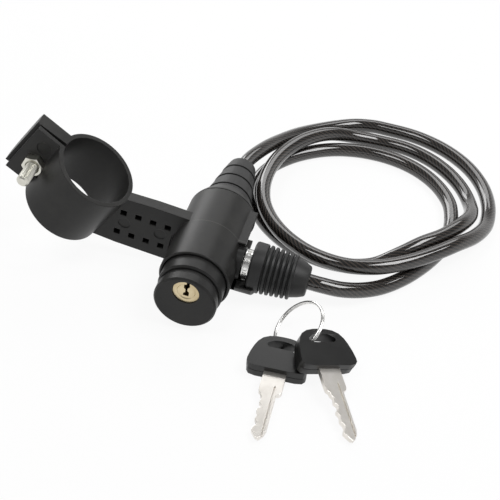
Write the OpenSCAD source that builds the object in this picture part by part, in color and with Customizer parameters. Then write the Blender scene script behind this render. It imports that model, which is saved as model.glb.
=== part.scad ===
// Cable lock for a bicycle, lying on a flat surface with its plug locked in
// and its two keys beside it. A coated steel cable leaves the back of the lock
// barrel, lies in two and a quarter loops and returns to the port on the side.
// A one-piece bracket holds the barrel in a sleeve and clamps to a frame tube.
// Millimetres, +Z up, the barrel along Y with its keyhole facing -Y.

/* [Barrel and sleeve] */
// Outside diameter of the bracket's sleeve and of the rear cap
sleeve_d = 28.4; // [27:0.1:31]
// Wall of the sleeve
sleeve_wall = 1; // [0.8:0.1:1.4]
// Length of the sleeve in front of the arm's front face
sleeve_front = 21; // [16:0.5:23]
// Length of the sleeve behind the arm's front face
sleeve_back = 20.3; // [19:0.1:24]
// Gap between the barrel and the sleeve, all round
body_gap = 0.4; // [0.2:0.05:0.5]
// Distance of the barrel's front face from the arm's front face
body_front = 34; // [33:0.5:36]
// Diameter of the knob at the barrel's front
knob_d = 24.6; // [24:0.1:25.4]
// Length of the knob at the barrel's front
knob_length = 4.6; // [4:0.2:6]
// Width of the groove behind the knob
groove_w = 2; // [1:0.2:3]
// Depth of the groove behind the knob
groove_depth = 0.9; // [0.5:0.1:1.1]
// Chamfer at the barrel's front edges
knob_chamfer = 0.7; // [0.4:0.1:1]
// Wall of the barrel's plastic jacket
jacket_wall = 1.1; // [1:0.1:1.4]
// Clearance of parts that are dropped into one another and stay there
seat_gap = 0.1; // [0.05:0.01:0.15]
// Length of the rear cap's dome
cap_length = 7.3; // [6.5:0.1:10]
// Radius of the rear cap where the boot comes out
cap_end_r = 10.7; // [10.5:0.1:11.5]

/* [Lock cylinder] */
// Diameter of the brass plug that the key turns
plug_d = 10.4; // [9.8:0.1:10.5]
// Wall of the lock's metal shell over the brass plug
plug_wall = 0.9; // [0.7:0.1:1.2]
// Running clearance of the brass plug in its bore
plug_gap = 0.1; // [0.05:0.01:0.1]
// How far the plug's face lies behind the barrel's face
plug_recess = 0.6; // [0.3:0.1:1]
// Length of the brass plug
plug_length = 22.8; // [22:0.1:23.5]
// Height of the keyway
keyway_h = 7.5; // [7:0.1:7.6]
// Number of wafers in the plug
wafer_count = 5; // [3:1:5]
// Distance between neighbouring wafers
wafer_pitch = 2.2; // [2:0.05:2.3]
// Thickness of a wafer
wafer_t = 1; // [0.8:0.05:1.2]
// How far the latch drops into the locking pin's groove
latch_travel = 1.6; // [1.4:0.1:1.7]
// Radius of the crank pin on the back of the plug
crank_r = 0.9; // [0.7:0.05:1]

/* [Port and plug] */
// Distance of the port's axis in front of the arm's front face
port_station = 4; // [3.5:0.1:4.5]
// How far the port points down
port_tilt = 6; // [4:0.5:8]
// Outside diameter of the port's boss
boss_d = 13.4; // [12:0.1:14]
// Distance of the boss's face from the barrel's axis
boss_reach = 15.4; // [15:0.1:16.5]
// Clearance of the boss in the sleeve's slot
slot_gap = 0.3; // [0.2:0.05:0.5]
// Diameter of the locking pin
pin_d = 7; // [6.4:0.1:7.2]
// Running clearance of the locking pin in its bore
pin_gap = 0.1; // [0.05:0.01:0.1]
// Diameter of the locking pin's groove
pin_groove_d = 4.6; // [4:0.1:4.8]
// Outside diameter of the metal ferrule
ferrule_d = 12.6; // [12:0.1:14]
// Length of the metal ferrule
ferrule_length = 3.1; // [2.5:0.1:4]
// Length of the plug's ribbed boot
boot_b_length = 23.5; // [21:0.5:26]
// Diameter of the plug's boot at the ferrule
boot_b_d1 = 20.4; // [18:0.1:20.8]
// Diameter of the plug's boot at the cable
boot_b_d2 = 16; // [14:0.1:18]

/* [Cable] */
// Outside diameter of the coated cable
cable_d = 6.4; // [5.6:0.1:6.6]
// Diameter of the rear boot at the cap
boot_a_d1 = 20.8; // [19:0.1:21]
// Diameter of the rear boot at the cable
boot_a_d2 = 12.4; // [11:0.1:14]
// Length of the rear boot outside the cap
boot_a_length = 26.4; // [24:0.1:30]
// Step from one section of the rear boot to the next
boot_a_step = 0.3; // [0.1:0.05:0.5]

/* [Bracket] */
// Depth of the arm, front to back
arm_depth = 5; // [4.7:0.1:7]
// How far the arm drops towards the barrel
arm_tilt = 10.7; // [9:0.1:12]
// Height of the arm's top edge over the barrel's axis
arm_top = 10.2; // [9:0.1:11]
// Depth of the arm's bottom edge under the barrel's axis
arm_bottom = 14.4; // [13.5:0.1:14.4]
// Side of a square lightening pocket
pocket_side = 2.6; // [2:0.1:3.2]
// Depth of the pockets and of the hollow beside the sleeve
pocket_depth = 4; // [3:0.1:4]
// Distance between neighbouring pockets
pocket_pitch = 6.25; // [5:0.05:6.6]
// Pockets in a row
pocket_count = 4; // [2:1:4]
// Bore of the collar, the diameter of the tube that it clamps
collar_bore = 30; // [28:0.1:30.2]
// Wall of the collar
collar_wall = 1.9; // [1.6:0.1:2.5]
// Length of the collar along its bore
collar_length = 26.2; // [24:0.1:28]
// Lean of the collar's bore
collar_tilt = 37.4; // [35:0.1:39]
// Distance of the collar's upper rim to the side of the barrel
collar_out = 46.7; // [45:0.1:50]
// Height of the collar's upper rim over the barrel's axis
collar_up = 26.2; // [24:0.1:28]
// Distance from the bore's axis to the end of the clamping ears
ear_reach = 27.5; // [27.5:0.1:30]
// How far the rear ear stands out past the front ear's end
rear_ear_past = 1.5; // [0.5:0.1:2]
// Depth of the rear ear behind the bore's axis, half-way up its bulged back
rear_ear = 10.6; // [10.2:0.1:12]
// Depth of the rear ear behind the bore's axis at the collar's rims
rear_ear_rim = 6.4; // [5:0.1:8]
// Gap between the ears at their ends
slit_outer = 0.6; // [0.6:0.1:1]
// Gap between the ears at the bore
slit_inner = 2; // [1.5:0.1:2.5]
// Diameter of the clamp bolt
bolt_d = 5; // [4:0.1:5]
// Distance of the bolt from the ears' ends
bolt_edge = 7.9; // [7:0.1:7.9]
// Distance of the bolt below the collar's upper rim
bolt_down = 15.4; // [11:0.1:17]
// How far the bolt's end stands in front of the ear
bolt_end = 13; // [6.5:0.1:16]
// Width across the flats of the nut
nut_af = 8; // [7:0.1:8]
// Thickness of the nut
nut_t = 4.5; // [4:0.1:6]
// Depth of the nut's seat in the front ear
nut_seat = 1.4; // [1:0.1:1.8]
// Diameter of the bolt's head
bolt_head_d = 9; // [8:0.1:9.4]
// Height of the bolt's head
bolt_head_t = 3; // [2.4:0.1:4]

/* [Keys] */
// Thickness of a key blade
blade_t = 2; // [1.8:0.1:2.2]
// Width of a key blade
blade_w = 7.2; // [6.6:0.1:7.3]
// Width of a blade's shoulder
shoulder_w = 8.5; // [8:0.1:9.5]
// Length of a blade from its shoulder to its tip
blade_length = 30.3; // [27:0.1:32]
// Width of a key head
head_w = 22.6; // [21:0.1:24]
// Height of a key head
head_h = 16.8; // [16.4:0.1:19]
// Thickness of a key head along its lower edge
head_t = 6; // [5.4:0.1:6]
// Thickness of a key head round its hole
head_thin = 3.6; // [3:0.1:4]
// Width of the hole in a key head
hole_w = 12.6; // [11:0.1:13]
// Height of the hole in a key head
hole_h = 4.3; // [4.2:0.1:4.4]
// Radius of the key ring at the middle of its wire
ring_r = 11.1; // [10.8:0.1:11.6]
// Diameter of the key ring's wire
wire_d = 1; // [0.9:0.05:1.1]

/* [Hidden] */
$fn = 64;
eps = 0.01;

// The barrel's place, which centres the rigid pieces on the origin
lock_x = 5.497;
lock_y = 12.854;
axis_h = sleeve_d / 2;

// Barrel, measured along it from the arm's front face
sleeve_r = sleeve_d / 2;
body_r = sleeve_r - sleeve_wall - body_gap;
body_back = -sleeve_back - body_gap;
knob_r = knob_d / 2;
groove_front = body_front - knob_length;
groove_back = groove_front - groove_w;
jacket_bore_r = body_r - jacket_wall;
nose_back = groove_back - 1.4;
shell_r = jacket_bore_r - seat_gap;
shell_front = nose_back - seat_gap;
cap_spigot = 2.4;
shell_back = body_back + cap_spigot + seat_gap;
cap_back = body_back - cap_length;
cap_roundness = 1.15;

// Lock cylinder
plug_r = plug_d / 2;
plug_offset = shell_r - plug_wall - plug_r;
plug_front = body_front - plug_recess;
plug_back = plug_front - plug_length;
keyhole_w = 2.2;
wafer_w = 5.4;
wafer_slot_gap = 0.1;
wafer_first = plug_back + 2.6;
keeper_r = 0.7;
keeper_station = wafer_first + wafer_count * wafer_pitch + 0.4;
keeper_depth = 0.9;
keeper_length = 10;

// Latch: a plate behind the plug, with a tongue that reaches over the pin.
// The crank pin swings from 45 degrees above its axis to 45 degrees below it.
crank_throw = latch_travel / 2 / sin(45);
crank_length = 1.7;
latch_gap = 0.2;
latch_plate_t = 1.6;
latch_front = plug_back - latch_gap / 2;
tongue_w = 2.4;
tongue_out = 6.5;
tongue_past = 2.5;
tongue_length = latch_front - latch_plate_t - port_station + tongue_past;
latch_low = pin_groove_d / 2 + 0.3 + latch_travel;
latch_high = plug_offset + 3.1;
latch_inner = -3;
latch_shoulder = 4.6;

// Port and plug, measured from the barrel's axis along the port's axis
boss_r = boss_d / 2;
slot_w = boss_d + 2 * slot_gap;
slot_front = port_station + 0.4;
pin_r = pin_d / 2;
pin_bore_r = pin_r + pin_gap;
pin_tip = 1.5;
pin_tip_chamfer = 1.2;
bush_r = 5;
bush_inner = shell_r + 0.2;
ferrule_front = boss_reach + 0.3;
ferrule_back = ferrule_front + ferrule_length;
boot_b_front = ferrule_back + seat_gap;
boot_b_back = boot_b_front + boot_b_length;
crimp_r = 5;
crimp_back = ferrule_back + 13;
cable_bore_r = cable_d / 2 + seat_gap;
tail_inside = crimp_back - 7;

// Rear boot and the crimped end of the cable
anchor_r = 6;
anchor_front = -10.2;
anchor_back = body_back - 2;
anchor_pin_r = 1.25;
anchor_pin_station = -13;
lead_inside = -16;
boot_flange_r = 9.2;
boot_flange_front = anchor_back - seat_gap;
boot_flange_back = boot_flange_front - 3;
boot_neck_r = 8;
boot_a_back = cap_back - boot_a_length;

// Bracket: the sleeve, the arm's square end and the lips along the slot
lip_reach = sleeve_r + 0.7;
lip_t = 1.4;
lip_back = sleeve_back - 1.9;
lip_front = 2;
collar_r = collar_bore / 2;
collar_outer_r = collar_r + collar_wall;
mark_d = 5;
ear_mark_d = 6;
mark_depth = 0.3;
bolt_hole_r = bolt_d / 2 + 0.15;
ear_front = arm_depth / 2;
ear_back = -rear_ear;
rear_ear_end = ear_reach + rear_ear_past;
ear_sag = rear_ear - rear_ear_rim;
ear_crown_r = (pow(collar_length / 2, 2) + pow(ear_sag, 2)) / (2 * ear_sag);
bolt_out = ear_reach - bolt_edge;
spot_depth = 1;
bolt_seat = ear_back + spot_depth;
nut_gap = 0.15;
spot_gap = 0.4;

// Key heads and blades
head_round = 2.6;
band_h = 6.4;
hole_up = 12.3;
hole_splay = 1.2;
tang_w = 6;
tang_h = 8.4;
key_1_at = [39.5, -49.8, 3.32];
key_1_turn = [2.1, 1.1, 1];
key_2_at = [58.4, -45.4, 7.03];
key_2_turn = [10.5, 16.5, 28.4];
ring_at = [43.56, -28.47, 8.29];
ring_lean = 40.8;
ring_heading = 198.9;

// Cable route. Heights are those of the cable's middle.
cable_r = cable_d / 2;
laid = cable_r + 0.1;
raised = laid + cable_d + 0.5;
ring_sides = 8;
rings_per_loop = 24;
coil_at = [54, 60];
coil_from = 90;
coil_to = 900;
reach_step = 45;
// Reach of the loops from the coil's middle, each eighth of a turn
coil_reach = [
    60, 58.2, 53.8, 47.6, 50.8, 47, 43.6, 44.6, 48.2,
    47.2, 46.4, 40.2, 43, 45.4, 48.8, 42.8, 38, 37, 38.8
];
// Between these angles a loop lies on the loops below it: it climbs from the
// first to the second and comes down from the third to the fourth
over_tail = [172, 214, 408, 452];
over_end = [518, 558, 584, 624];
// The cable from the rear boot to the loops, and from the loops to the plug
lead_route = [
    [1, 62, 13.9], [3.5, 70, 13.1], [6.6, 78.4, 11.6], [10.5, 87, 9.6], [16, 97, 7.3],
    [23.2, 106.2, 5.1], [31.8, 113.8, 3.8], [39.8, 118.4, 3.4]
];
tail_route = [
    [92.7, 47, laid], [91, 39.6, laid], [88, 32.2, laid], [83.5, 24, laid], [77.5, 15.6, laid],
    [70.2, 8, 3.6], [62.8, 2, 5.2], [55, -2.2, 7.3]
];

function unit(v) = v / norm(v);
function smooth(t) = let(u = min(max(t, 0), 1)) u * u * (3 - 2 * u);
function blend4(a, b, c, d, t) =
    b + 0.5 * t * (c - a + t * (2 * a - 5 * b + 4 * c - d + t * (3 * (b - c) + d - a)));
function reach_at(p) =
    let(q = (p - coil_from) / reach_step, last = len(coil_reach) - 1)
    let(i = min(floor(q), last - 1))
    blend4(coil_reach[max(i - 1, 0)], coil_reach[i], coil_reach[i + 1],
        coil_reach[min(i + 2, last)], q - i);
function hump(p, span) = smooth((p - span[0]) / (span[1] - span[0]))
    * (1 - smooth((p - span[2]) / (span[3] - span[2])));
function coil_point(p) = [
    coil_at[0] - reach_at(p) * cos(p),
    coil_at[1] + reach_at(p) * sin(p),
    laid + (raised - laid) * (hump(p, over_tail) + hump(p, over_end))
];
coil_turn = 360 / rings_per_loop;
coil_points = [for (p = [coil_from:coil_turn:coil_to]) coil_point(p)];
coil_last = len(coil_points) - 1;
coil_in = unit(coil_point(coil_from + 1) - coil_points[0]);
coil_out = unit(coil_points[coil_last] - coil_point(coil_to - 1));
rear_dir = [0, 1, 0];
plug_dir = [cos(port_tilt), 0, -sin(port_tilt)];
function rear_point(s) = [0, -s, axis_h];
function port_point(d) = [0, -port_station, axis_h] + d * plug_dir;
lead_points = concat(
    [rear_point(lead_inside), rear_point(boot_a_back)], lead_route,
    [coil_points[0] - cable_d * coil_in, coil_points[0]]
);
tail_points = concat(
    [coil_points[coil_last], coil_points[coil_last] + cable_d * coil_out], tail_route,
    [port_point(boot_b_back + 5), port_point(boot_b_back), port_point(tail_inside)]
);

// Least gap of the loops to themselves, measured between points a few
// millimetres apart that are more than an eighth of a turn from each other
gap_step = 5;
gap_points = [for (p = [coil_from:gap_step:coil_to]) coil_point(p)];
gap_skip = 10;
least_gap = min([
    for (i = [0:len(gap_points) - 1 - gap_skip])
        for (j = [i + gap_skip:len(gap_points) - 1])
            norm(gap_points[i] - gap_points[j])
]) - cable_d;
echo(least_gap_of_the_loops = least_gap);

// Ring of points round p, square to t, with a corner straight down
function ring(p, t, r) =
    let(side = unit(cross(t, [0, 0, 1])), up = cross(side, t))
    [for (k = [0:ring_sides - 1])
        p + r * (sin(360 * k / ring_sides) * side - cos(360 * k / ring_sides) * up)];

module tube(points, first, last_dir, r) {
    n = len(points);
    rings = [for (i = [0:n - 1])
        ring(points[i],
            i == 0 ? first
            : i == n - 1 ? last_dir
            : unit(unit(points[i + 1] - points[i]) + unit(points[i] - points[i - 1])), r)];
    corners = [for (loop = rings) each loop];
    start_cap = [for (k = [1:ring_sides - 2]) [0, k, k + 1]];
    base = (n - 1) * ring_sides;
    end_cap = [for (k = [1:ring_sides - 2]) [base, base + k + 1, base + k]];
    sides = [for (i = [0:n - 2], k = [0:ring_sides - 1])
        let(a = i * ring_sides + k, b = i * ring_sides + (k + 1) % ring_sides)
        each [[a, a + ring_sides, b], [b, a + ring_sides, b + ring_sides]]];
    polyhedron(points = corners, faces = concat(start_cap, end_cap, sides), convexity = 10);
}

// Frame of the barrel: Z along it to the front, X to the port, Y up
module along_barrel() {
    translate([lock_x, lock_y, axis_h]) rotate([0, port_tilt, 0]) rotate([90, 0, 0]) children();
}

// Frame of the port: Z outwards along its axis
module along_port() {
    along_barrel() translate([0, 0, port_station]) rotate([0, 90, 0]) children();
}

// Frame of the bracket: X to the right, Y up, Z to the front
module along_bracket() {
    translate([lock_x, lock_y, axis_h]) rotate([90, 0, 0]) children();
}

// Frame of the collar: Y up along its bore from the upper rim, Z to the front
module along_collar() {
    translate([-collar_out, collar_up, -arm_depth / 2]) rotate([0, 0, -collar_tilt]) children();
}

module at_lock() {
    translate([lock_x, lock_y, 0]) children();
}

// A cylinder between two stations
module span(r, from, to) {
    translate([0, 0, from]) cylinder(r = r, h = to - from);
}

// A ribbed boot's outline, turned round Z from its thick end at 0. It stays
// plain at both ends.
module ribbed_boot(length, r1, r2, plain, tail, ribs, groove, depth, lip) {
    pitch = (length - plain - tail) / ribs;
    function r_at(z) = r1 + (r2 - r1) * max(z - plain / 2, 0) / (length - plain / 2);
    rib_points = [for (i = [0:ribs - 1])
        let(z = plain + i * pitch)
        each [
            [r_at(z), z], [r_at(z) - depth, z + groove * 0.25],
            [r_at(z + groove) - depth, z + groove * 0.75], [r_at(z + groove), z + groove]
        ]];
    rotate_extrude()
        polygon(concat([[0, 0], [r1 - lip, 0], [r1, lip]], rib_points,
            [for (a = [0:30:90]) [r2 - lip + lip * cos(a), length - lip + lip * sin(a)]],
            [[0, length]]));
}

// A boot of tapered sections that step out from one another, with a collar at
// its thick end
module stepped_boot(length, r1, r2, collar, sections, step, groove, depth, lip) {
    pitch = (length - collar) / sections;
    function r_at(z) = r1 + (r2 - r1) * z / length;
    section_points = [for (i = [0:sections - 1])
        let(z = collar + i * pitch)
        each [
            [r_at(z) - step / 2, z], [r_at(z) - depth, z + groove * 0.25],
            [r_at(z + groove) - depth, z + groove * 0.75], [r_at(z + groove) + step / 2, z + groove]
        ]];
    rotate_extrude()
        polygon(concat([[0, 0], [r1, 0]], section_points,
            [for (a = [0:30:90]) [r2 - lip + lip * cos(a), length - lip + lip * sin(a)]],
            [[0, length]]));
}

module lock_housing() {
    color("#2a2a2b") along_barrel() difference() {
        union() {
            span(body_r, body_back, groove_back - knob_chamfer);
            translate([0, 0, groove_back - knob_chamfer])
                cylinder(r1 = body_r, r2 = body_r - knob_chamfer, h = knob_chamfer);
            span(knob_r - groove_depth, groove_back - eps, groove_front + eps);
            translate([0, 0, groove_front])
                cylinder(r1 = knob_r - knob_chamfer, r2 = knob_r, h = knob_chamfer);
            span(knob_r, groove_front + knob_chamfer, body_front - knob_chamfer);
            translate([0, 0, body_front - knob_chamfer])
                cylinder(r1 = knob_r, r2 = knob_r - knob_chamfer, h = knob_chamfer);
            translate([0, 0, port_station]) rotate([0, 90, 0]) cylinder(r = boss_r, h = boss_reach);
        }
        span(jacket_bore_r, body_back - 1, nose_back);
        translate([0, plug_offset, 0]) span(plug_r + plug_gap, nose_back - 1, body_front + 1);
        translate([0, 0, port_station]) rotate([0, 90, 0])
            cylinder(r = bush_r + seat_gap / 2, h = boss_reach + 1);
    }
}

module rear_cap() {
    dome = [for (i = [0:8])
        let(t = i / 8)
        [cap_end_r + (sleeve_r - cap_end_r) * (1 - pow(t, cap_roundness)), -t * cap_length]];
    color("#262627") along_barrel() difference() {
        union() {
            translate([0, 0, body_back]) rotate_extrude()
                polygon(concat([[0, 0]], dome, [[0, -cap_length]]));
            span(shell_r, body_back - eps, body_back + cap_spigot);
        }
        span(anchor_r + seat_gap, boot_flange_front - eps, body_back + cap_spigot + 1);
        span(boot_flange_r + seat_gap, boot_flange_back - seat_gap, boot_flange_front);
        span(boot_neck_r + seat_gap, cap_back - 1, boot_flange_front - 1);
    }
}

module cylinder_shell() {
    color("#9b9da0") along_barrel() difference() {
        span(shell_r, shell_back, shell_front);
        translate([0, plug_offset, 0]) span(plug_r + plug_gap, latch_front, shell_front + 1);
        span(anchor_r + seat_gap, shell_back - 1, anchor_front + seat_gap);
        translate([0, 0, anchor_pin_station]) rotate([90, 0, 0])
            cylinder(r = anchor_pin_r + seat_gap / 2, h = 2 * shell_r + 2, center = true);
        translate([0, 0, port_station]) rotate([0, 90, 0])
            translate([0, 0, pin_tip - 0.8]) cylinder(r = pin_bore_r, h = shell_r);
        // room for the latch's plate and for its tongue, open at the top
        translate([latch_inner - latch_gap, pin_groove_d / 2, latch_front - latch_plate_t - latch_gap])
            cube([tongue_out + tongue_w / 2 - latch_inner + 2 * latch_gap, shell_r,
                latch_plate_t + latch_gap + eps]);
        translate([tongue_out - tongue_w / 2 - latch_gap, 0,
            latch_front - latch_plate_t - tongue_length - latch_gap])
            cube([tongue_w + 2 * latch_gap, shell_r, tongue_length + latch_plate_t]);
        keeper_place() cylinder(r = keeper_r + 0.05, h = keeper_length + 2);
    }
}

// The keeper pin lies across the plug's groove, under the plug's axis
module keeper_place() {
    translate([-1, plug_offset - plug_r + keeper_depth - keeper_r - 0.05, keeper_station])
        rotate([0, 90, 0]) children();
}

module plug_retaining_pin() {
    color("#b9bbbd") along_barrel() keeper_place() cylinder(r = keeper_r, h = keeper_length);
}

// The keyway's zig-zag outline, open at the plug's top edge
module keyway() {
    low = plug_r - keyway_h;
    half = keyhole_w / 2;
    polygon([
        [-0.1, plug_r + 1], [half, plug_r + 1], [half, 2.2], [0.4, 1.5], [0.4, 0.3], [half, -0.4],
        [half, low], [-half, low], [-half, -1.2], [-0.4, -0.6], [-0.4, 0.8], [-half, 1.5],
        [-half, 3.2], [-0.1, 3.9]
    ]);
}

module wafer_place() {
    for (i = [0:wafer_count - 1]) translate([0, plug_offset, wafer_first + i * wafer_pitch]) children();
}

module key_plug() {
    dish_r = 3.7;
    dish = 0.4;
    color("#cdb583") along_barrel() {
        difference() {
            translate([0, plug_offset, 0]) span(plug_r, plug_back, plug_front);
            translate([0, plug_offset, plug_back + 1.4]) linear_extrude(plug_length) keyway();
            translate([0, plug_offset, plug_front - dish])
                cylinder(r1 = dish_r - dish, r2 = dish_r + eps, h = dish + eps);
            translate([0, plug_offset, keeper_station - keeper_r - 0.1]) difference() {
                cylinder(r = plug_r + 1, h = 2 * keeper_r + 0.2);
                translate([0, 0, -1]) cylinder(r = plug_r - keeper_depth, h = 4);
            }
            wafer_place() translate([-wafer_w / 2 - wafer_slot_gap, -plug_r - 1, -wafer_slot_gap])
                cube([wafer_w + 2 * wafer_slot_gap, plug_d + 2, wafer_t + 2 * wafer_slot_gap]);
        }
        translate([crank_throw * cos(45), plug_offset + crank_throw * sin(45), plug_back - crank_length])
            cylinder(r = crank_r, h = crank_length + eps);
    }
}

module wafers() {
    window_w = 3;
    spring_notch = [1.2, 2.3];
    color("#d8c48c") along_barrel() wafer_place() linear_extrude(wafer_t) difference() {
        intersection() {
            circle(r = plug_r - 0.05);
            square([wafer_w, plug_d], center = true);
        }
        translate([-window_w / 2, plug_r - keyway_h - 0.6]) square([window_w, keyway_h - 0.8]);
        translate([wafer_w / 2 - spring_notch[0], -3.6]) square(spring_notch + [1, 0]);
    }
}

module wafer_springs() {
    spring_r = 0.4;
    color("#c8c8c8") along_barrel() wafer_place()
        translate([wafer_w / 2 - 0.6, -3.5, wafer_t / 2]) rotate([-90, 0, 0])
            cylinder(r = spring_r, h = 2.1);
}

module latch() {
    outer = tongue_out + tongue_w / 2;
    slot_half = crank_r + latch_gap;
    crank_x = crank_throw * cos(45);
    crank_y = plug_offset + crank_throw * sin(45);
    tongue_high = latch_low + 2.4;
    color("#8f9193") along_barrel() {
        translate([0, 0, latch_front - latch_plate_t]) linear_extrude(latch_plate_t) difference() {
            polygon([
                [latch_inner, latch_low], [outer, latch_low], [outer, tongue_high],
                [latch_shoulder, latch_high], [latch_inner, latch_high]
            ]);
            translate([crank_x - slot_half, crank_y - slot_half])
                square([2 * slot_half + crank_throw, 2 * slot_half]);
        }
        translate([tongue_out - tongue_w / 2, latch_low, latch_front - latch_plate_t - tongue_length])
            cube([tongue_w, tongue_high - latch_low, tongue_length + eps]);
    }
}

module port_bush() {
    color("#b4b6b8") along_port() difference() {
        span(bush_r, bush_inner, boss_reach - 0.2);
        span(pin_bore_r, bush_inner - 1, boss_reach + 1);
    }
}

module cable_anchor() {
    color("#a5a7a9") along_barrel() difference() {
        span(anchor_r, anchor_back, anchor_front);
        span(cable_bore_r, anchor_back - 1, lead_inside + seat_gap);
        translate([0, 0, anchor_pin_station]) rotate([90, 0, 0])
            cylinder(r = anchor_pin_r + seat_gap / 2, h = 4 * anchor_r, center = true);
    }
}

module anchor_pin() {
    color("#8f9193") along_barrel() translate([0, 0, anchor_pin_station]) rotate([90, 0, 0])
        cylinder(r = anchor_pin_r, h = 2 * shell_r - 0.6, center = true);
}

module boot_a() {
    color("#2b2b2c") along_barrel() difference() {
        union() {
            span(boot_flange_r, boot_flange_back, boot_flange_front);
            span(boot_neck_r, cap_back - 0.5, boot_flange_back + eps);
            translate([0, 0, cap_back]) rotate([180, 0, 0])
                stepped_boot(boot_a_length, boot_a_d1 / 2, boot_a_d2 / 2, 2, 3, boot_a_step, 0.6, 0.8, 1);
        }
        span(cable_bore_r, boot_a_back - 1, boot_flange_front + 1);
    }
}

module cable_lead() {
    color("#3a3533") at_lock() tube(lead_points, rear_dir, coil_in, cable_r);
}

module cable_coil() {
    color("#3a3533") at_lock() tube(coil_points, coil_in, coil_out, cable_r);
}

module cable_tail() {
    color("#3a3533") at_lock() tube(tail_points, coil_out, -plug_dir, cable_r);
}

module plug_pin() {
    groove_half = tongue_w / 2 + 0.3;
    color("#c9cacb") along_port() difference() {
        union() {
            translate([0, 0, pin_tip])
                cylinder(r1 = pin_r - pin_tip_chamfer, r2 = pin_r, h = pin_tip_chamfer);
            span(pin_r, pin_tip + pin_tip_chamfer, tongue_out - groove_half);
            span(pin_groove_d / 2, tongue_out - groove_half - eps, tongue_out + groove_half + eps);
            span(pin_r, tongue_out + groove_half, ferrule_back + eps);
            span(crimp_r, ferrule_back, crimp_back);
        }
        span(cable_bore_r, tail_inside - seat_gap, crimp_back + 1);
    }
}

module plug_ferrule() {
    edge = 0.4;
    color("#d4d5d6") along_port() rotate_extrude() polygon([
        [pin_r + 0.02, ferrule_front], [ferrule_d / 2 - edge, ferrule_front],
        [ferrule_d / 2, ferrule_front + edge], [ferrule_d / 2, ferrule_back - edge],
        [ferrule_d / 2 - edge, ferrule_back], [pin_r + 0.02, ferrule_back]
    ]);
}

module boot_b() {
    color("#2b2b2c") along_port() difference() {
        translate([0, 0, boot_b_front])
            ribbed_boot(boot_b_length, boot_b_d1 / 2, boot_b_d2 / 2, 4.7, 4.1, 6, 1.2, 1, 1.2);
        span(crimp_r + seat_gap, boot_b_front - 1, crimp_back + seat_gap);
        span(cable_bore_r, crimp_back, boot_b_back + 1);
    }
}

// A point of the arm, t along it from the barrel's axis and n above it
function arm_point(t, n) = [
    t * cos(arm_tilt) + n * sin(arm_tilt),
    -t * sin(arm_tilt) + n * cos(arm_tilt)
];
// A point of the collar, u out from its bore's axis and w up from its rim
function collar_point(u, w) = [
    -collar_out + u * cos(collar_tilt) + w * sin(collar_tilt),
    collar_up - u * sin(collar_tilt) + w * cos(collar_tilt)
];

// Side view of the arm, from the collar's wall to the sleeve
module arm_outline() {
    inner = collar_outer_r - collar_wall / 2;
    rim = collar_outer_r - 0.3;
    top_start = 24;
    bottom_end = 38;
    notch_in = 6;
    notch_out = 13;
    notch_h = 3.4;
    polygon([
        collar_point(inner, 0), collar_point(rim, 0), arm_point(-top_start, arm_top),
        arm_point(0, arm_top), arm_point(0, 0), arm_point(-notch_in, -arm_bottom + notch_h),
        arm_point(-notch_out, -arm_bottom), arm_point(-bottom_end, -arm_bottom),
        collar_point(rim, -collar_length), collar_point(inner, -collar_length)
    ]);
}

// The hollow beside the sleeve, bounded by the arm face's curved right end
module hollow_outline() {
    edge = [[-6.6, 12], [-9.2, 9.4], [-12.4, 5.6], [-15.4, 1.6], [-16.6, -2.4], [-17.4, -7], [-19, -14]];
    polygon(concat(edge, [[0, -20], [4, 14]]));
}

module pockets() {
    rows = [[-17.7, 2.35], [-19.1, -8.25]];
    for (row = rows, i = [0:pocket_count - 1])
        rotate(-arm_tilt) translate([row[0] - i * pocket_pitch, row[1]])
            square(pocket_side, center = true);
}

module face_marks() {
    for (p = [[-35.4, 3.9], [-20.4, 1.5]]) translate(p) circle(d = mark_d);
}

// The clamping ears, seen along the bore
module ear_outline() {
    ear_root = 12;
    ear_slope = 1;
    polygon([
        [-ear_root, ear_front], [-ear_reach, ear_front], [-ear_reach, 0], [-rear_ear_end, 0],
        [-rear_ear_end, ear_back + ear_slope], [-rear_ear_end + ear_slope, ear_back],
        [-ear_root, ear_back]
    ]);
}

// The slit between the ears, narrower at their ends
module slit_outline() {
    polygon([
        [-rear_ear_end - 1, slit_outer / 2], [-collar_r + 2, slit_inner / 2],
        [-collar_r + 2, -slit_inner / 2], [-rear_ear_end - 1, -slit_outer / 2]
    ]);
}

// The collar with its ears, whose back bulges between the two rims
module collar_body() {
    difference() {
        union() {
            rotate([90, 0, 0]) cylinder(r = collar_outer_r, h = collar_length);
            intersection() {
                rotate([90, 0, 0]) linear_extrude(collar_length) ear_outline();
                translate([-rear_ear_end - 1, -collar_length / 2, ear_back + ear_crown_r])
                    rotate([0, 90, 0]) cylinder(r = ear_crown_r, h = ear_reach);
            }
        }
        translate([0, 1, 0]) rotate([90, 0, 0]) linear_extrude(collar_length + 2) slit_outline();
    }
}

module bolt_place() {
    along_bracket() along_collar() translate([-bolt_out, -bolt_down, 0]) children();
}

// A six-sided prism with flats facing the bore and the ears' ends
module hexagon(across_flats, h) {
    rotate(30) cylinder(d = across_flats / cos(30), h = h, $fn = 6);
}

module sleeve_slot() {
    translate([0, 0, slot_front]) rotate([0, 90, 0]) cylinder(d = slot_w, h = 2 * sleeve_r);
    translate([0, -slot_w / 2, -sleeve_back - 1])
        cube([2 * sleeve_r, slot_w, sleeve_back + 1 + slot_front]);
}

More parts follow.
